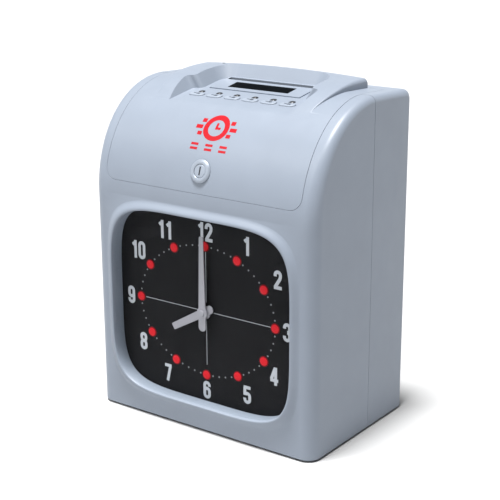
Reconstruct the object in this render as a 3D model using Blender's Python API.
"""Punch time clock: a desk-standing time recorder with a clock face, a card slot on top and a locked lid.

Body coordinates are millimetres: x across, y from the front face to the back, z up from the case's lower
edge. The helper world() turns them into the scene's metres, with the feet standing on z = 0.
"""

from math import atan, cos, pi, sin, sqrt

import bmesh
import bpy
from mathutils import Matrix, Vector

MM = 0.001
FLAT_ANGLE = 0.002  # faces this close to one plane are merged after a Boolean
FACE_Y = -70.75  # world y of the front face
FOOT_HEIGHT = 2.0

# Case
HALF_WIDTH = 115.0
DEPTH = 145.0
TOP = 288.0
WALL = 2.5
CURVE_START = 190.0  # height where the upright front starts to lean back
CURVE_RUN = 90.0  # depth over which the front curves into the top
CURVE_POWER = 2.08  # a little fuller than an ellipse, which would be 2
REAR_DROP = 2.0  # how far the top falls from there to the back
EDGE_RADIUS = 12.0
TOP_EDGE_RADIUS = 6.0  # the side fillet tightens to this over the top
BACK_EDGE_RADIUS = 3.0
BACK_TOP_RADIUS = 5.0
SPLIT_Y = 87.0  # where the front shell meets the rear shell
GAP = 0.3

# Lid
LID_HALF_WIDTH = 101.0
LID_BOTTOM = 208.0
LID_BACK = 124.0
LID_CORNER = 11.0
HINGE = (126.8, 289.3)
KNUCKLE_RADIUS = 2.4
PIN_RADIUS = 1.0

# Raised platform and card well
RIM_TOP = 295.0
RIM_FALL = 17.3  # how far the rim drops to its front foot
RIM_FOOT_Y = 47.5
RIM_BACK_Y = 123.6
RIM_POWER = 2.9
RIM_CROWN = 2.6
WING_WIDE = 85.5
WING_NARROW = 80.0
FLOOR_Y = 61.5
FLOOR_Z = 277.4
FLOOR_SLOPE = 0.168
WELL_WIDE = 68.0
WELL_NARROW = 59.0
WELL_JOG_Y = 75.0
WELL_BACK_Y = 110.0
WELL_DRAFT = 0.67  # the well widens this much for each unit of height
WELL_INSET = 6.0  # how far the foot of its side walls stands in from the rim
FLOOR_THICK = 2.5
PLATEAU_HALF = 47.0
PLATEAU_Y = 79.0
PLATEAU_RISE = 0.9
SLOT_HALF = 45.5
SLOT_FRONT = 103.0
SLOT_BACK = 108.4

# Keys, lamps and display
KEY_COUNT = 6
KEY_PITCH = 18.8
KEY_HALF_LENGTH = 7.75
KEY_HALF_WIDTH = 3.8
LED_Y = 68.4
LED_RADIUS = 2.5
LCD_Y = 91.5
LCD_HALF = (31.5, 7.0)

# Window and dial
WINDOW_Z = 104.8
WINDOW_HALF = (94.0, 82.7)
WINDOW_POWER = 5.0
DIAL_Y = 10.5
HUB_Z = 104.0
HOUR_ANGLE = 240.0  # the hands rest at eight o'clock

# Clock train: module, teeth
TRAIN_MODULE = 0.6
MINUTE_TEETH = 10
MOTION_TEETH = 30
MOTION_PINION_TEETH = 8
HOUR_TEETH = 32
DRIVE_MODULE = 0.66
CENTRE_TEETH = 36
MOTOR_TEETH = 9
FEED_MODULE = 0.8
FEED_GEAR_TEETH = 30
FEED_PINION_TEETH = 12

# Lock
LOCK_Z = 226.3
LOCK_NORMAL = Vector((0.0, -0.948, 0.319)).normalized()  # square to the lid at that height
LOCK_PROUD = 1.8  # how far the lock stands out of the lid
KEYWAY = (1.3, 7.3)  # width and length of the key slot
CAM_LENGTH = 20.0

# Print unit
FRAME_X = 83.0
FRAME_THICK = 2.0
GUIDE = (80.0, 240.0)
FEED = (98.4, 208.0)
PINCH = (111.2, 208.0)
FEED_RADIUS = 7.0
PINCH_RADIUS = 5.0
PULLEY_X = 66.0
PULLEY_Z = 240.0
PULLEY_RADIUS = 6.0

# Fastenings and power inlet
SCREW_X = 94.0
LUG_Z = (30.0, 255.0)
SCREWS = [(x, z) for z in LUG_Z for x in (-SCREW_X, SCREW_X)]
INLET = (-60.0, 28.0)

# Derived
FLOOR_ANGLE = atan(FLOOR_SLOPE)
FLOOR_NORMAL = Vector((0.0, -sin(FLOOR_ANGLE), cos(FLOOR_ANGLE)))
MOTION_CENTRE = (TRAIN_MODULE * (MINUTE_TEETH + MOTION_TEETH) / 2, HUB_Z)
MOTOR_CENTRE = (0.0, HUB_Z - DRIVE_MODULE * (CENTRE_TEETH + MOTOR_TEETH) / 2)
FEED_MOTOR_Z = FEED[1] - FEED_MODULE * (FEED_GEAR_TEETH + FEED_PINION_TEETH) / 2


def clear_scene():
    for obj in list(bpy.data.objects):
        bpy.data.objects.remove(obj, do_unlink=True)


def world(point):
    return Vector((point[0], point[1] + FACE_Y, point[2] + FOOT_HEIGHT)) * MM


def plain(name, colour, roughness, metallic=0.0):
    material = bpy.data.materials.new(name)
    material.use_nodes = True
    shader = material.node_tree.nodes["Principled BSDF"]
    shader.inputs["Base Color"].default_value = (*colour, 1.0)
    shader.inputs["Roughness"].default_value = roughness
    shader.inputs["Metallic"].default_value = metallic
    return material


def make_materials():
    return {
        "case": plain("case_plastic", (0.62, 0.72, 0.80), 0.42),
        "dark": plain("dark_plastic", (0.02, 0.02, 0.022), 0.5),
        "clear": plain("clear_acrylic", (0.8, 0.84, 0.86), 0.05),
        "dial": plain("dial_black", (0.016, 0.016, 0.018), 0.6),
        "hand": plain("hand_grey", (0.55, 0.54, 0.60), 0.4),
        "steel": plain("steel", (0.55, 0.56, 0.58), 0.32, 1.0),
        "chrome": plain("chrome", (0.75, 0.76, 0.78), 0.15, 1.0),
        "brass": plain("brass", (0.72, 0.52, 0.22), 0.3, 1.0),
        "white": plain("white_acetal", (0.80, 0.80, 0.76), 0.45),
        "board": plain("green_board", (0.02, 0.16, 0.07), 0.5),
        "rubber": plain("black_rubber", (0.015, 0.015, 0.015), 0.85),
        "cell": plain("battery_wrap", (0.08, 0.22, 0.45), 0.4),
        "iron": plain("core_iron", (0.10, 0.10, 0.11), 0.5, 0.6),
    }


def mesh_object(name, points, faces, material, origin=(0.0, 0.0, 0.0), smooth=True):
    """An object whose own origin stands at `origin`; the points are body millimetres."""
    mesh = bpy.data.meshes.new(name)
    base = Vector(origin)
    mesh.from_pydata([(Vector(p) - base) * MM for p in points], [], faces)
    work = bmesh.new()
    work.from_mesh(mesh)
    bmesh.ops.recalc_face_normals(work, faces=work.faces)
    bmesh.ops.triangulate(work, faces=work.faces)
    work.to_mesh(mesh)
    work.free()
    if smooth:
        mesh.shade_smooth()
        mesh.set_sharp_from_angle(angle=0.6)
    obj = bpy.data.objects.new(name, mesh)
    obj.location = world(origin)
    bpy.context.scene.collection.objects.link(obj)
    obj.data.materials.append(material)
    return obj


def loft(name, rings, material, origin=(0.0, 0.0, 0.0), closed=False):
    """A skin over rings of equal point count: capped at both ends, or joined end to end if closed."""
    count = len(rings[0])
    points = [p for ring in rings for p in ring]
    faces = []
    for k in range(len(rings) if closed else len(rings) - 1):
        a = k * count
        b = (k + 1) % len(rings) * count
        for i in range(count):
            j = (i + 1) % count
            faces.append((a + i, a + j, b + j, b + i))
    if not closed:
        faces.append(tuple(reversed(range(count))))
        faces.append(tuple(range(len(points) - count, len(points))))
    return mesh_object(name, points, faces, material, origin)


def box(name, x, y, z, material, origin=None):
    """A box between the pairs x, y and z."""
    rings = [[(x[0], y[0], h), (x[1], y[0], h), (x[1], y[1], h), (x[0], y[1], h)] for h in z]
    middle = (sum(x) / 2, sum(y) / 2, sum(z) / 2)
    return loft(name, rings, material, middle if origin is None else origin)


def axes_for(direction):
    """Two unit vectors square to the direction, the first one as near level as it can be."""
    along = Vector(direction).normalized()
    side = Vector((0, 0, 1)).cross(along)
    if side.length < 1e-6:
        side = Vector((1, 0, 0))
    side.normalize()
    return side, along.cross(side)


def lathe(name, profile, origin, direction, material, segments=24, closed=False):
    """Turns (distance along, radius) pairs about the line through origin; closed makes a tube wall."""
    along = Vector(direction).normalized()
    side, up = axes_for(direction)
    rings = []
    for distance, radius in profile:
        ring = []
        for k in range(segments):
            angle = 2 * pi * k / segments
            spoke = side * cos(angle) + up * sin(angle)
            ring.append(Vector(origin) + along * distance + spoke * radius)
        rings.append(ring)
    return loft(name, rings, material, origin, closed)


def rod(name, start, direction, length, radius, material, segments=20):
    return lathe(name, [(0, radius), (length, radius)], start, direction, material, segments)


def bake(target):
    bpy.context.view_layer.update()
    graph = bpy.context.evaluated_depsgraph_get()
    mesh = bpy.data.meshes.new_from_object(target.evaluated_get(graph))
    target.modifiers.clear()
    target.data = mesh
    work = bmesh.new()
    work.from_mesh(mesh)
    bmesh.ops.dissolve_limit(work, angle_limit=FLAT_ANGLE, verts=work.verts, edges=work.edges)
    bmesh.ops.triangulate(work, faces=work.faces)
    work.to_mesh(mesh)
    work.free()
    mesh.shade_smooth()
    mesh.set_sharp_from_angle(angle=0.6)


def combine(target, others, operation):
    for other in others:
        modifier = target.modifiers.new(operation.title(), "BOOLEAN")
        modifier.operation = operation
        modifier.solver = "EXACT"
        modifier.object = other
        bake(target)
        bpy.data.objects.remove(other, do_unlink=True)
    return target


def cut(target, *others):
    return combine(target, others, "DIFFERENCE")


def join(target, *others):
    return combine(target, others, "UNION")


def keep(target, *others):
    return combine(target, others, "INTERSECT")


def arc(centre, radius, start, end, steps):
    """Points on a plane arc, angles in degrees."""
    points = []
    for k in range(steps + 1):
        angle = (start + (end - start) * k / steps) * pi / 180
        points.append((centre[0] + radius * cos(angle), centre[1] + radius * sin(angle)))
    return points


# ---- case -------------------------------------------------------------------------------------------


def side_profile(skin, turn, bottom, curve_steps):
    """The case's outline at one turn round its side fillet: 0 meets the front, 90 degrees the flank."""

    def corner(radius):
        return HALF_WIDTH - radius + (radius - skin) * sin(turn), skin + (radius - skin) * (1 - cos(turn))

    x, inset = corner(EDGE_RADIUS)
    points = [(x, inset, bottom)]
    for k in range(curve_steps + 1):
        angle = pi / 2 * k / curve_steps
        x, inset = corner(EDGE_RADIUS - (EDGE_RADIUS - TOP_EDGE_RADIUS) * sin(angle))
        y = CURVE_RUN - (CURVE_RUN - inset) * abs(cos(angle)) ** (2 / CURVE_POWER)
        z = CURVE_START + (TOP - CURVE_START - inset) * sin(angle) ** (2 / CURVE_POWER)
        points.append((x, y, z))
    over = max(0.0, x - (HALF_WIDTH - skin - BACK_EDGE_RADIUS))
    back = DEPTH - skin - BACK_EDGE_RADIUS + sqrt(max(0.0, BACK_EDGE_RADIUS**2 - over**2))
    centre = (back - BACK_TOP_RADIUS, TOP - REAR_DROP - inset - BACK_TOP_RADIUS)
    points += [(x, y, z) for y, z in arc(centre, BACK_TOP_RADIUS, 90, 0, 4)]
    points.append((x, back, bottom))
    return points


def hull(name, skin, bottom, material, curve_steps=12, edge_steps=3):
    """The whole case as a solid, its surface moved inwards by skin."""
    turns = [pi / 2 * k / edge_steps for k in range(edge_steps + 1)]
    rings = []
    for side, turn in [(-1, turn) for turn in reversed(turns)] + [(1, turn) for turn in turns]:
        profile = side_profile(skin, turn, bottom, curve_steps)
        rings.append([(side * x, y, z) for x, y, z in profile])
    return loft(name, rings, material)


def curve_height(y):
    """Height of the case's outer surface above the point y deep."""
    reach = max(0.0, 1 - (1 - min(y, CURVE_RUN) / CURVE_RUN) ** CURVE_POWER)
    drop = REAR_DROP * max(0.0, y - CURVE_RUN) / (DEPTH - CURVE_RUN - BACK_TOP_RADIUS)
    return CURVE_START + (TOP - CURVE_START) * reach ** (1 / CURVE_POWER) - drop


def curve_depth(z):
    """How far behind the front face the case's outer surface lies at height z."""
    reach = 1 - ((z - CURVE_START) / (TOP - CURVE_START)) ** CURVE_POWER
    return CURVE_RUN - CURVE_RUN * reach ** (1 / CURVE_POWER)


def lid_prism(name, grow, back, material):
    """The lid's outline run straight back; grow widens it for the opening in the shells."""
    half = LID_HALF_WIDTH + grow
    low = LID_BOTTOM - grow
    radius = LID_CORNER + grow
    outline = arc((-half + radius, low + radius), radius, 180, 270, 5)
    outline += arc((half - radius, low + radius), radius, 270, 360, 5)
    outline += [(half, 330.0), (-half, 330.0)]
    rings = [[(x, y, z) for x, z in outline] for y in (-20.0, back)]
    return loft(name, rings, material)


def window_outline(offset, y, count=48):
    """The window's rounded opening, grown by offset, as a ring at depth y."""
    ring = []
    for k in range(count):
        angle = 2 * pi * k / count
        c, s = cos(angle), sin(angle)
        x = (abs(c) ** (2 / WINDOW_POWER)) * (1 if c >= 0 else -1)
        z = (abs(s) ** (2 / WINDOW_POWER)) * (1 if s >= 0 else -1)
        ring.append((x * (WINDOW_HALF[0] + offset), y, WINDOW_Z + z * (WINDOW_HALF[1] + offset)))
    return ring


def window_frame(material):
    """The proud soft rim and the sleeve that runs back to the dial."""
    section = [(0, 10.1), (0, -2.7), (1.0, -3.5), (2.2, -3.3), (3.9, -2.3), (5.8, -0.9)]
    section += [(7.4, -0.1), (8.6, 0.25), (8.6, 1.2), (2.0, 1.2), (2.0, 10.1)]
    rings = [window_outline(offset, y) for offset, y in section]
    return loft("window_frame", rings, material, closed=True)


def make_front_shell(m):
    shell = hull("front_shell", 0.0, 0.0, m["case"])
    hollow = hull("hollow", WALL, -8.0, m["case"])
    rear_half = box("rear_half", (-130, 130), (SPLIT_Y - GAP / 2, 160), (-10, 300), m["case"])
    lid_hole = lid_prism("lid_hole", GAP / 2, 160.0, m["case"])
    opening = loft("opening", [window_outline(1.0, -10), window_outline(1.0, 8)], m["case"])
    cut(shell, hollow, rear_half, lid_hole, opening)
    lip = box("lip", (-14, 14), (1.5, 12.5), (194.5, 197.0), m["case"])
    flange = box("flange", (-14, 14), (11.0, 12.5), (195.0, 204.5), m["case"])
    join(shell, window_frame(m["case"]), lip, flange)
    return shell


def make_rear_shell(m):
    shell = hull("rear_shell", 0.0, 0.0, m["case"])
    hollow = hull("hollow", WALL, -8.0, m["case"])
    front_half = box("front_half", (-130, 130), (-10, SPLIT_Y + GAP / 2), (-10, 300), m["case"])
    lid_hole = lid_prism("lid_hole", GAP / 2, LID_BACK + GAP / 2, m["case"])
    cut(shell, hollow, front_half, lid_hole)
    for x, z in SCREWS:
        join(shell, rod("boss", (x, 131.6, z), (0, 1, 0), 12.5, 6.0, m["case"], 16))
    for sign in (-1, 1):
        join(shell, *rear_knuckle(sign, m["case"]))
    for x, z in SCREWS:
        stepped = [(0, 2.0), (6.0, 2.0), (6.0, 4.2), (20.0, 4.2)]
        cut(shell, lathe("bore", stepped, (x, 130, z), (0, 1, 0), m["case"], 16))
    for sign in (-1, 1):
        cut(shell, rod("bore", (sign * 50, *HINGE), (sign, 0, 0), 30.0, PIN_RADIUS + 0.25, m["case"], 12))
    x, z = INLET
    cut(shell, box("hole", (x - 12.3, x + 12.3), (130, 150), (z - 8.3, z + 8.3), m["case"]))
    return shell


def rear_knuckle(sign, material):
    x = sorted((sign * 62.0, sign * 70.0))
    y, z = HINGE
    barrel = rod("barrel", (x[0], y, z), (1, 0, 0), x[1] - x[0], KNUCKLE_RADIUS, material, 16)
    foot = box("foot", x, (y - 2.0, y + 2.2), (z - 4.0, z - 0.2), material)
    return foot, barrel


def make_base_plate(m):
    plate = hull("base_plate", WALL + GAP, -8.0, m["case"])
    keep(plate, box("slice", (-130, 130), (-10, 160), (0.3, 3.0), m["case"]))


def make_feet(m):
    spots = [(-95.0, 18.0), (95.0, 18.0), (-95.0, 124.0), (95.0, 124.0)]
    for k, (x, y) in enumerate(spots):
        profile = [(0, 7.0), (0.6, 7.6), (FOOT_HEIGHT, 8.0)]
        lathe(f"foot_{k + 1}", profile, (x, y, -FOOT_HEIGHT), (0, 0, 1), m["rubber"], 20)


# ---- lid --------------------------------------------------------------------------------------------


def floor_height(y):
    return FLOOR_Z + FLOOR_SLOPE * (y - FLOOR_Y)


def on_floor(x, y, height=0.0):
    """A point over the well's sloping floor; height is measured square to it."""
    return Vector((x, y, floor_height(y))) + FLOOR_NORMAL * height


def floor_prism(name, outline, low, high, material, origin=(0.0, 0.0, 0.0)):
    """A prism square to the well's floor, from an outline of (x, y) at floor level."""
    rings = [[on_floor(x, y, height) for x, y in outline] for height in (low, high)]
    return loft(name, rings, material, origin)


def floor_box(name, x, y, heights, material):
    outline = [(x[0], y[0]), (x[1], y[0]), (x[1], y[1]), (x[0], y[1])]
    middle = on_floor(sum(x) / 2, sum(y) / 2, sum(heights) / 2)
    return floor_prism(name, outline, heights[0], heights[1], material, tuple(middle))


def rim_height(y):
    return RIM_TOP - RIM_FALL * (max(0.0, RIM_BACK_Y - y) / (RIM_BACK_Y - RIM_FOOT_Y)) ** RIM_POWER


def platform_block(material):
    """The raised block behind and beside the well, lying over the lid's skin."""
    rings = []
    for y in (43, 46, 50, 55, 60, 66, 72, 78, 85, 95, 105, 112, 118, 122.2, RIM_BACK_Y):
        grow = sin(pi / 2 * min(1.0, max(0.0, (y - 50) / 35)))
        half = WING_NARROW + (WING_WIDE - WING_NARROW) * grow
        low = curve_height(y) - 2.0
        high = rim_height(y)
        crown = RIM_CROWN * min(1.0, max(0.0, (y - 100) / 15))
        soft = min(3.2, max(0.3, (high - low) / 3))
        if y == RIM_BACK_Y:
            high -= 1.4
        section = [(-half, low), (-half, high - soft), (-half + 0.3 * soft, high - 0.3 * soft)]
        section.append((-half + soft, high))
        section += [(x, high + crown * (1 - (x / 78) ** 2)) for x in (-62, -40, 0, 40, 62)]
        section.append((half - soft, high))
        section += [(half - 0.3 * soft, high - 0.3 * soft), (half, high - soft), (half, low)]
        rings.append([(x, y, z) for x, z in section])
    return loft("platform", rings, material)


def well_tub(material):
    """Walls and floor round the well, before the well itself is cut."""
    rings = []
    for y in (46, 50, 55, 60, 66, 73, 79, 100, WELL_BACK_Y + FLOOR_THICK):
        half = WELL_WIDE + FLOOR_THICK if y < 76 else WELL_NARROW + FLOOR_THICK
        low = floor_height(y) - FLOOR_THICK
        high = min(curve_height(y) - 0.5, TOP - 0.8)
        rings.append([(-half, y, low), (-half, y, high), (half, y, high), (half, y, low)])
    return loft("tub", rings, material)


def well_outline(side, back):
    """The well seen from above, grown by side and back: wide in front, a jog, then narrow."""
    wide, narrow = WELL_WIDE + side, WELL_NARROW + side
    right = [(wide, 30.0)]
    right += arc((wide - 4, WELL_JOG_Y - 3), 4, 0, 75, 3)
    right += arc((narrow + 4, WELL_JOG_Y + 5), 4, 255, 180, 3)
    right += arc((narrow - 6, WELL_BACK_Y + back - 6), 6, 0, 90, 4)
    return right + [(-x, y) for x, y in reversed(right)]


def well_cutter(material):
    """The well's walls lean outwards all the way up from the sloping floor."""
    rise = 25.0
    low = [(x, y, floor_height(y)) for x, y in well_outline(-WELL_INSET, 0.0)]
    high = well_outline(WELL_DRAFT * rise - WELL_INSET, WELL_DRAFT * rise)
    high = [(x, y, point[2] + rise) for (x, y), point in zip(high, low)]
    return loft("well", [low, high], material)


def key_x(index):
    return (index - (KEY_COUNT - 1) / 2) * KEY_PITCH


def stadium(x, y, half_length, half_width, steps=4):
    outline = arc((x + half_length - half_width, y), half_width, -90, 90, steps)
    outline += arc((x - half_length + half_width, y), half_width, 90, 270, steps)
    return outline


def make_lid(m):
    case = m["case"]
    lid = hull("lid", 0.0, 0.0, case)
    hollow = hull("hollow", WALL, -8.0, case)
    cut(lid, hollow)
    keep(lid, lid_prism("outline", -GAP / 2, LID_BACK - GAP / 2, case))
    join(lid, platform_block(case), well_tub(case))
    cut(lid, well_cutter(case))
    plateau = (-PLATEAU_HALF, PLATEAU_HALF), (PLATEAU_Y, WELL_BACK_Y + 1), (-1.0, PLATEAU_RISE)
    join(lid, floor_box("plateau", *plateau, case))
    for sign in (-1, 1):
        join(lid, *lid_knuckle(sign, case))
        pocket_x = sorted((sign * 63.0, sign * 82.5))
        cut(lid, box("pocket", pocket_x, (84.0, 120.0), (265.0, TOP - 0.6), case))
        cut(lid, rod("bore", (sign * 50, *HINGE), (sign, 0, 0), 30.0, PIN_RADIUS + 0.25, case, 12))
    y = (LCD_Y - LCD_HALF[1], LCD_Y + LCD_HALF[1])
    cut(lid, floor_box("lcd_hole", (-LCD_HALF[0], LCD_HALF[0]), y, (-9.0, 9.0), case))
    cut(lid, box("slot", (-SLOT_HALF, SLOT_HALF), (SLOT_FRONT, SLOT_BACK), (265, 300), case))
    for k in range(KEY_COUNT):
        hole = stadium(key_x(k), FLOOR_Y, KEY_HALF_LENGTH + 0.2, KEY_HALF_WIDTH + 0.2)
        cut(lid, floor_prism("key_hole", hole, -9.0, 9.0, case))
        cut(lid, rod("led_hole", on_floor(key_x(k), LED_Y, -9), FLOOR_NORMAL, 18, LED_RADIUS + 0.3, case, 12))
    cut(lid, rod("lock_hole", lock_point(10.0), -LOCK_NORMAL, 30.0, 7.8, case, 20))
    set_origin(lid, (0.0, *HINGE))
    return lid


def lid_knuckle(sign, material):
    x = sorted((sign * 53.7, sign * 61.7))
    y, z = HINGE
    barrel = rod("barrel", (x[0], y, z), (1, 0, 0), x[1] - x[0], KNUCKLE_RADIUS, material, 16)
    arm = box("arm", x, (y - 5.0, y), (z - 1.5, z + 1.5), material)
    return arm, barrel


def set_origin(obj, point):
    """Moves the object's origin without moving its shape."""
    shift = world(point) - obj.location
    obj.data.transform(Matrix.Translation(-shift))
    obj.location = world(point)


def make_hinge_pin(m):
    lathe("hinge_pin", [(0, PIN_RADIUS), (139.0, PIN_RADIUS)], (-69.5, *HINGE), (1, 0, 0), m["steel"], 12)


def make_keys(m):
    for k in range(KEY_COUNT):
        x = key_x(k)
        cap = floor_prism(
            f"button_{k + 1}",
            stadium(x, FLOOR_Y, KEY_HALF_LENGTH - 0.2, KEY_HALF_WIDTH - 0.2),
            -4.0,
            0.9,
            m["case"],
            tuple(on_floor(x, FLOOR_Y)),
        )
        ears = stadium(x, FLOOR_Y, KEY_HALF_LENGTH + 0.9, KEY_HALF_WIDTH - 0.4, 2)
        join(cap, floor_prism("ears", ears, -4.2, -3.0, m["case"]))
        join(cap, rod("stem", on_floor(x, FLOOR_Y, -7.2), FLOOR_NORMAL, 4.0, 1.5, m["case"], 8))


def make_key_board(m):
    board = floor_box("key_board", (-62, 62), (52, 76), (-10.6, -9.0), m["board"])
    for k in range(KEY_COUNT):
        x = key_x(k)
        join(board, floor_box("switch", (x - 3, x + 3), (FLOOR_Y - 3, FLOOR_Y + 3), (-9.4, -8.6), m["dark"]))


def make_led_strip(m):
    strip = floor_box("led_strip", (-52, 52), (LED_Y - 1.6, LED_Y + 2.6), (-5.6, -3.2), m["dark"])
    for k in range(KEY_COUNT):
        start = on_floor(key_x(k), LED_Y, -4.5)
        lens = [(0, LED_RADIUS), (4.6, LED_RADIUS), (5.2, 1.6)]
        join(strip, lathe("lens", lens, start, FLOOR_NORMAL, m["dark"], 12))


def make_display(m):
    half = LCD_HALF[0] - 0.3
    y = (LCD_Y - LCD_HALF[1] + 0.3, LCD_Y + LCD_HALF[1] - 0.3)
    floor_box("lcd_window", (-half, half), y, (-1.2, 0.8), m["dark"])
    floor_box("lcd_module", (-38, 38), (83.4, 99.6), (-7.6, -3.2), m["dark"])


# ---- lock -------------------------------------------------------------------------------------------


def lock_point(distance):
    """A point on the lock's axis, measured outwards from the lid's surface."""
    return Vector((0.0, curve_depth(LOCK_Z), LOCK_Z)) + LOCK_NORMAL * distance


def make_lock(m):
    inwards = -LOCK_NORMAL
    face = lock_point(LOCK_PROUD)
    outer = [(0, 8.3), (0.5, 9.2), (1.6, 10.0), (1.6, 7.5), (19.3, 7.5), (19.3, 5.9), (0, 5.9)]
    lathe("lock_barrel", outer, face, inwards, m["chrome"], 32, closed=True)
    profile = [(0.3, 5.2), (0.6, 5.6), (20.7, 5.6), (20.7, 3.0), (24.3, 3.0)]
    plug = lathe("lock_plug", profile, face, inwards, m["chrome"], 28)
    side, up = axes_for(inwards)
    keyway = []
    for distance in (-2.0, 7.0):
        ring = []
        for a, b in ((-1, -1), (1, -1), (1, 1), (-1, 1)):
            ring.append(face + inwards * distance + side * (a * KEYWAY[0] / 2) + up * (b * KEYWAY[1] / 2))
        keyway.append(ring)
    cut(plug, loft("keyway", keyway, m["dark"]))
    hub = face + inwards * 21.0
    outline = arc((0, 0), 6.5, 90, 270, 6) + arc((CAM_LENGTH - 4.5, 0), 4.5, -90, 90, 5)
    plate = []
    for distance in (0.0, 2.0):
        plate.append([hub + inwards * distance + side * a + up * b for a, b in outline])
    cam = loft("lock_cam", plate, m["steel"], tuple(hub))
    cut(cam, rod("cam_hole", hub - inwards * 2, inwards, 8.0, 3.3, m["steel"], 16))


# ---- clock ------------------------------------------------------------------------------------------


def make_window_lens(m):
    rings = [window_outline(-0.4, -0.8), window_outline(-0.4, 0.8)]
    loft("window_lens", rings, m["clear"], (0.0, 0.0, WINDOW_Z))


def make_dial(m):
    rings = [window_outline(5.0, DIAL_Y, 40), window_outline(5.0, DIAL_Y + 1.5, 40)]
    dial = loft("dial_plate", rings, m["dial"], (0.0, DIAL_Y, HUB_Z))
    cut(dial, rod("dial_hole", (0, 0, HUB_Z), (0, 1, 0), 20.0, 4.5, m["dial"], 24))


def hand(name, y, length, tail, widths, hub, bore, degrees, material):
    """A flat tapered hand turned clockwise from twelve, with a round hub."""
    turn = -degrees * pi / 180
    outline = [(-widths[0] / 2, -tail), (widths[0] / 2, -tail), (widths[1] / 2, 0)]
    outline += [(widths[2] / 2, length), (-widths[2] / 2, length), (-widths[1] / 2, 0)]
    rings = []
    for depth in y:
        ring = []
        for a, b in outline:
            x = a * cos(turn) - b * sin(turn)
            z = a * sin(turn) + b * cos(turn)
            ring.append((x, depth, HUB_Z + z))
        rings.append(ring)
    blade = loft(name, rings, material, (0.0, y[0], HUB_Z))
    join(blade, rod("hub", (0, y[0] - 0.2, HUB_Z), (0, 1, 0), y[1] - y[0] + 0.4, hub, material, 24))
    cut(blade, rod("bore", (0, y[0] - 5, HUB_Z), (0, 1, 0), 12.0, bore, material, 20))


def gear(name, centre, y, module, teeth, material, turn=0.0, origin=None):
    """A spur gear square to the y axis, with slim straight-sided teeth."""
    pitch = module * teeth / 2
    outline = []
    for k in range(teeth):
        for part, radius in ((-0.30, -1.15), (-0.13, 0.85), (0.13, 0.85), (0.30, -1.15)):
            angle = 2 * pi * (k + part * 0.8 + turn) / teeth
            outline.append((angle, pitch + radius * module))
    rings = []
    for depth in y:
        rings.append([(centre[0] + r * sin(a), depth, centre[1] + r * cos(a)) for a, r in outline])
    return loft(name, rings, material, origin or (centre[0], y[0], centre[1]))


def make_clock_train(m):
    hand("minute_hand", (4.2, 5.2), 67.0, 16.2, (7.6, 7.2, 4.0), 5.2, 2.2, 0.0, m["hand"])
    hand("hour_hand", (6.7, 7.7), 39.0, 10.5, (7.4, 7.4, 6.0), 6.2, 3.75, HOUR_ANGLE, m["hand"])
    arbor = [(0, 2.4), (0.8, 2.9), (0.8, 2.0), (22.8, 2.0)]
    minute = lathe("minute_arbor", arbor, (0, 3.0, HUB_Z), (0, 1, 0), m["brass"], 16)
    join(minute, gear("pinion", (0, HUB_Z), (16.9, 18.4), TRAIN_MODULE, MINUTE_TEETH, m["brass"]))
    join(minute, gear("wheel", (0, HUB_Z), (22.0, 23.2), DRIVE_MODULE, CENTRE_TEETH, m["brass"]))
    hour = gear("hour_wheel", (0, HUB_Z), (14.3, 15.8), TRAIN_MODULE, HOUR_TEETH, m["brass"])
    join(hour, rod("pipe", (0, 6.4, HUB_Z), (0, 1, 0), 8.6, 3.5, m["brass"], 20))
    cut(hour, rod("bore", (0, 0, HUB_Z), (0, 1, 0), 30.0, 2.3, m["brass"], 16))
    motion = gear("motion_wheel", MOTION_CENTRE, (17.0, 18.2), TRAIN_MODULE, MOTION_TEETH, m["brass"], 0.5)
    small = gear("small", MOTION_CENTRE, (13.9, 17.5), TRAIN_MODULE, MOTION_PINION_TEETH, m["brass"], 0.5)
    join(motion, small)
    cut(motion, rod("bore", (MOTION_CENTRE[0], 0, HUB_Z), (0, 1, 0), 30.0, 1.0, m["brass"], 12))
    motor = gear("motor_pinion", MOTOR_CENTRE, (21.8, 23.4), DRIVE_MODULE, MOTOR_TEETH, m["white"], 0.5)
    join(motor, rod("shaft", (0, 22.5, MOTOR_CENTRE[1]), (0, 1, 0), 9.0, 1.0, m["steel"], 12))


def make_movement(m):
    x, z = (-26.0, 30.0), (72.0, 130.0)
    frame = box("movement_frame", x, (19.2, 20.4), z, m["steel"])
    back = box("back", x, (24.6, 26.0), z, m["steel"])
    posts = []
    for px in (-22.0, 26.0):
        for pz in (76.0, 126.0):
            posts.append(rod("post", (px, 12.3, pz), (0, 1, 0), 13.0, 2.2, m["steel"], 10))
    join(frame, back, *posts)
    join(frame, rod("stud", (MOTION_CENTRE[0], 13.2, HUB_Z), (0, 1, 0), 6.5, 0.7, m["steel"], 10))
    cut(frame, rod("hole", (0, 10, HUB_Z), (0, 1, 0), 30.0, 2.4, m["steel"], 16))
    cut(frame, rod("hole", (0, 24, MOTOR_CENTRE[1]), (0, 1, 0), 10.0, 2.0, m["steel"], 12))


def make_clock_motor(m):
    can = [(0, 13.0), (0.8, 14.0), (17.0, 14.0), (18.0, 13.0)]
    start = (0, 26.4, MOTOR_CENTRE[1])
    motor = lathe("clock_motor", can, start, (0, 1, 0), m["steel"], 24)
    cut(motor, rod("hole", (0, 20, MOTOR_CENTRE[1]), (0, 1, 0), 14.0, 1.4, m["steel"], 12))


# ---- print unit -------------------------------------------------------------------------------------


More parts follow.
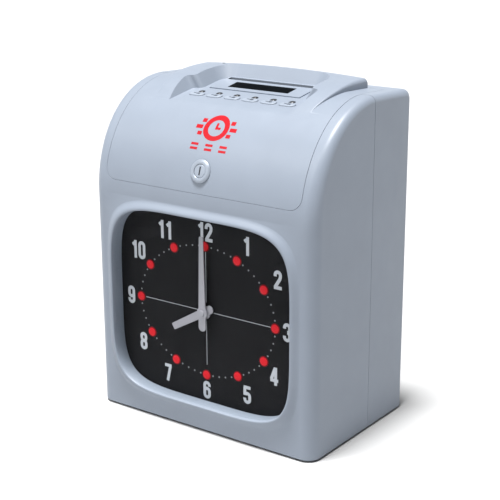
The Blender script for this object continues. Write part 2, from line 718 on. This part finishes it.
def make_side_frame(name, sign, m):
    """One side plate of the print unit, with a foot flange and two lugs for the case screws."""
    outline = [(35, 3.4), (35, 222), (62, 258), (128, 258), (128, 3.4)]
    plate_x = sorted((sign * (FRAME_X - FRAME_THICK / 2), sign * (FRAME_X + FRAME_THICK / 2)))
    rings = [[(x, y, z) for y, z in outline] for x in plate_x]
    plate = loft(name, rings, m["steel"], (sign * FRAME_X, 80.0, 130.0))
    flange_x = sorted((sign * (FRAME_X - 0.5), sign * (FRAME_X + 10)))
    join(plate, box("flange", flange_x, (40, 124), (3.3, 4.9), m["steel"]))
    for z in LUG_Z:
        lug_x = sorted((sign * (FRAME_X - 0.5), sign * 100.0))
        join(plate, box("lug", lug_x, (125.5, 127.5), (z - 7, z + 7), m["steel"]))
    cut(plate, box("window", sorted((sign * 70, sign * 96)), (52, 112), (70, 160), m["steel"]))
    for y, z, radius in ((*GUIDE, 3.15), (*FEED, 2.7), (*PINCH, 1.8)):
        cut(plate, rod("hole", (-sign * 5 + sign * FRAME_X, y, z), (sign, 0, 0), 20, radius, m["steel"], 14))
    motor_hole = (sign * (FRAME_X - 5), FEED[0], FEED_MOTOR_Z)
    cut(plate, rod("hole", motor_hole, (sign, 0, 0), 20, 2.2, m["steel"], 12))
    for z in LUG_Z:
        cut(plate, rod("hole", (sign * SCREW_X, 120, z), (0, 1, 0), 12, 2.0, m["steel"], 12))


def make_chute(m):
    front = box("chute_front", (-48, 48), (101.6, 102.7), (110, 280), m["steel"])
    cut(front, box("print_window", (-40, 40), (95, 105), (229, 251), m["steel"]))
    cut(front, box("feed_window", (-32, 32), (95, 105), (199, 217), m["steel"]))
    back = box("chute_back", (-48, 48), (108.6, 109.4), (110, 280), m["steel"])
    for sign in (-1, 1):
        x = sorted((sign * 45.9, sign * 48.0))
        join(back, box("side", x, (103.1, 109.0), (110, 280), m["steel"]))
    cut(back, box("pinch_window", (-32, 32), (107, 112), (201, 215), m["steel"]))


def across(name, place, half, radius, material, segments=16):
    """A shaft lying across the machine."""
    return rod(name, (-half, *place), (1, 0, 0), 2 * half, radius, material, segments)


def make_feed(m):
    shaft = across("feed_shaft", FEED, 83.9, 2.4, m["steel"])
    join(shaft, rod("end", (-92.0, *FEED), (1, 0, 0), 12.0, 2.4, m["steel"], 16))
    set_origin(shaft, (0.0, *FEED))
    wheel = gear("wheel", (0, 0), (86.6, 90.0), FEED_MODULE, FEED_GEAR_TEETH, m["white"])
    place_on_x(wheel, FEED)
    join(shaft, wheel)
    roller = [(0, FEED_RADIUS - 0.4), (0.6, FEED_RADIUS), (57.4, FEED_RADIUS), (58, FEED_RADIUS - 0.4)]
    rubber = lathe("feed_roller", roller, (-29, *FEED), (1, 0, 0), m["rubber"], 24)
    cut(rubber, across("bore", FEED, 60, 2.7, m["rubber"]))
    set_origin(rubber, (0.0, *FEED))
    pinch = across("pinch_roller", PINCH, 83.9, 1.5, m["steel"], 12)
    join(pinch, rod("tyre", (-29, *PINCH), (1, 0, 0), 58.0, PINCH_RADIUS, m["rubber"], 20))
    set_origin(pinch, (0.0, *PINCH))
    place = (FEED[0], FEED_MOTOR_Z)
    pinion = gear("feed_pinion", (0, 0), (86.6, 90.0), FEED_MODULE, FEED_PINION_TEETH, m["white"], 0.5)
    place_on_x(pinion, place)
    join(pinion, rod("shaft", (-88.0, *place), (1, 0, 0), 12.0, 1.4, m["steel"], 12))
    set_origin(pinion, (-88.0, *place))
    can = [(0, 12.0), (24.0, 12.0)]
    motor = lathe("feed_motor", can, (-81.7, *place), (1, 0, 0), m["steel"], 24)
    cut(motor, rod("hole", (-90, *place), (1, 0, 0), 16.0, 1.8, m["steel"], 12))


def place_on_x(obj, place):
    """Turns a gear made about the y axis so that it stands on the left, square to the x axis."""
    shift = world((0, 0, 0))
    obj.data.transform(Matrix.Translation(obj.location - shift))
    obj.location = (0, 0, 0)
    obj.data.transform(Matrix.Rotation(pi / 2, 4, "Z"))
    obj.location = world((0, *place))
    bpy.context.view_layer.update()


def make_carriage(m):
    shaft = across("guide_shaft", GUIDE, 83.9, 3.0, m["steel"])
    set_origin(shaft, (0.0, *GUIDE))
    y, z = GUIDE
    carriage = box("carriage", (-18, 18), (y - 9, y + 9), (z - 9, z + 9), m["dark"], (0.0, y, z))
    join(carriage, box("clip", (-6, 6), (70.1, y - 8), (z + 4.6, z + 8.6), m["dark"]))
    cut(carriage, across("bore", GUIDE, 60, 3.3, m["dark"]))
    head = box("print_head", (-12, 12), (y + 9.3, 97.0), (z - 10, z + 9), m["dark"], (0.0, y + 12, z))
    join(head, box("nose", (-6, 6), (96.5, 103.6), (z - 5, z + 5), m["steel"]))


def belt_ring(radius, y, turns=10):
    points = arc((PULLEY_X, PULLEY_Z), radius, -90, 90, turns)
    points += arc((-PULLEY_X, PULLEY_Z), radius, 90, 270, turns)
    return [(x, y, z) for x, z in points]


def make_belt(m):
    for name, x in (("drive_pulley", -PULLEY_X), ("idler_pulley", PULLEY_X)):
        flanges = [(0, 7.6), (0.8, 7.6), (0.8, PULLEY_RADIUS), (5.8, PULLEY_RADIUS), (5.8, 7.6), (6.6, 7.6)]
        pulley = lathe(name, flanges, (x, 64.4, PULLEY_Z), (0, 1, 0), m["white"], 20)
        if x < 0:
            join(pulley, rod("shaft", (x, 50.0, PULLEY_Z), (0, 1, 0), 16.0, 1.2, m["steel"], 12))
        else:
            cut(pulley, rod("bore", (x, 60.0, PULLEY_Z), (0, 1, 0), 20.0, 1.8, m["white"], 12))
    rings = []
    for radius, y in ((6.4, 65.6), (7.3, 65.6), (7.3, 69.8), (6.4, 69.8)):
        rings.append(belt_ring(radius, y))
    loft("drive_belt", rings, m["rubber"], (0.0, 67.7, PULLEY_Z), closed=True)
    can = [(0, 11.5), (1, 12.0), (20.0, 12.0)]
    motor = lathe("carriage_motor", can, (-PULLEY_X, 41.5, PULLEY_Z - 4), (0, 1, 0), m["steel"], 24)
    cut(motor, rod("hole", (-PULLEY_X, 46.0, PULLEY_Z), (0, 1, 0), 20.0, 1.7, m["steel"], 12))
    plate = box("cross_plate", (-81.7, 81.7), (62.2, 63.7), (222, 254), m["steel"])
    join(plate, rod("stud", (PULLEY_X, 63.0, PULLEY_Z), (0, 1, 0), 9.5, 1.4, m["steel"], 12))
    cut(plate, rod("hole", (-PULLEY_X, 58.0, PULLEY_Z), (0, 1, 0), 12.0, 2.0, m["steel"], 12))


def make_ribbon(m):
    body = box("ribbon_cartridge", (-74, 74), (72, 99), (252.5, 259.5), m["dark"])
    cut(body, box("notch", (-26, 26), (90, 102), (250, 262), m["dark"]))
    cut(body, rod("knob_hole", (50, 86, 248), (0, 0, 1), 20.0, 2.6, m["dark"], 14))
    knob = [(0, 2.2), (7.4, 2.2), (7.4, 5.5), (11.4, 5.0)]
    lathe("ribbon_knob", knob, (50, 86, 252.6), (0, 0, 1), m["white"], 16)
    box("platen", (-81.7, 81.7), (109.8, 114.8), (232, 248), m["rubber"])


# ---- electrics --------------------------------------------------------------------------------------


def make_electrics(m):
    board = box("main_board", (-74, 74), (133.2, 134.8), (56, 150), m["board"])
    parts = [((-60, -40), 9.0, (70, 90)), ((-20, 10), 3.5, (100, 118)), ((30, 42), 14.0, (66, 78))]
    parts += [((50, 62), 11.0, (90, 140)), ((-62, -30), 6.0, (128, 142)), ((0, 20), 5.0, (66, 80))]
    for x, height, z in parts:
        join(board, box("component", x, (133.5 - height, 133.6), z, m["dark"]))
    core = box("transformer", (-72, -22), (58, 98), (3.5, 46), m["iron"])
    join(core, box("coil", (-62, -32), (52, 104), (12, 38), m["brass"]))
    box("backup_battery", (10, 68), (62, 96), (3.5, 34), m["cell"])
    join(board, rod("sounder", (-8, 133.6, 84), (0, -1, 0), 9.0, 6.0, m["dark"], 16))
    make_inlet(m)


def make_inlet(m):
    x, z = INLET
    body = box("power_inlet", (x - 11.8, x + 11.8), (120.5, 144.5), (z - 7.8, z + 7.8), m["dark"])
    cavity = stadium(x, z, 9.0, 5.0)
    rings = [[(a, y, b) for a, b in cavity] for y in (126.5, 152.5)]
    cut(body, loft("cavity", rings, m["dark"]))
    for sign in (-1, 1):
        join(body, rod("pin", (x + sign * 4.0, 124.5, z), (0, 1, 0), 16.0, 1.2, m["brass"], 10))


def make_screws(m):
    for k, (x, z) in enumerate(SCREWS):
        profile = [(0, 2.6), (0.7, 3.6), (2.0, 3.6), (2.0, 1.7), (15.0, 1.7), (16.0, 0.8)]
        screw = lathe(f"case_screw_{k + 1}", profile, (x, 139.0, z), (0, -1, 0), m["steel"], 12)
        cut(screw, box("slot", (x - 5, x + 5), (138.2, 141), (z - 0.45, z + 0.45), m["steel"]))


def build():
    clear_scene()
    m = make_materials()
    make_front_shell(m)
    make_rear_shell(m)
    make_base_plate(m)
    make_feet(m)
    make_lid(m)
    make_hinge_pin(m)
    make_keys(m)
    make_key_board(m)
    make_led_strip(m)
    make_display(m)
    make_lock(m)
    make_window_lens(m)
    make_dial(m)
    make_clock_train(m)
    make_movement(m)
    make_clock_motor(m)
    make_side_frame("left_frame", -1, m)
    make_side_frame("right_frame", 1, m)
    make_chute(m)
    make_feed(m)
    make_carriage(m)
    make_belt(m)
    make_ribbon(m)
    make_electrics(m)
    make_screws(m)


build()
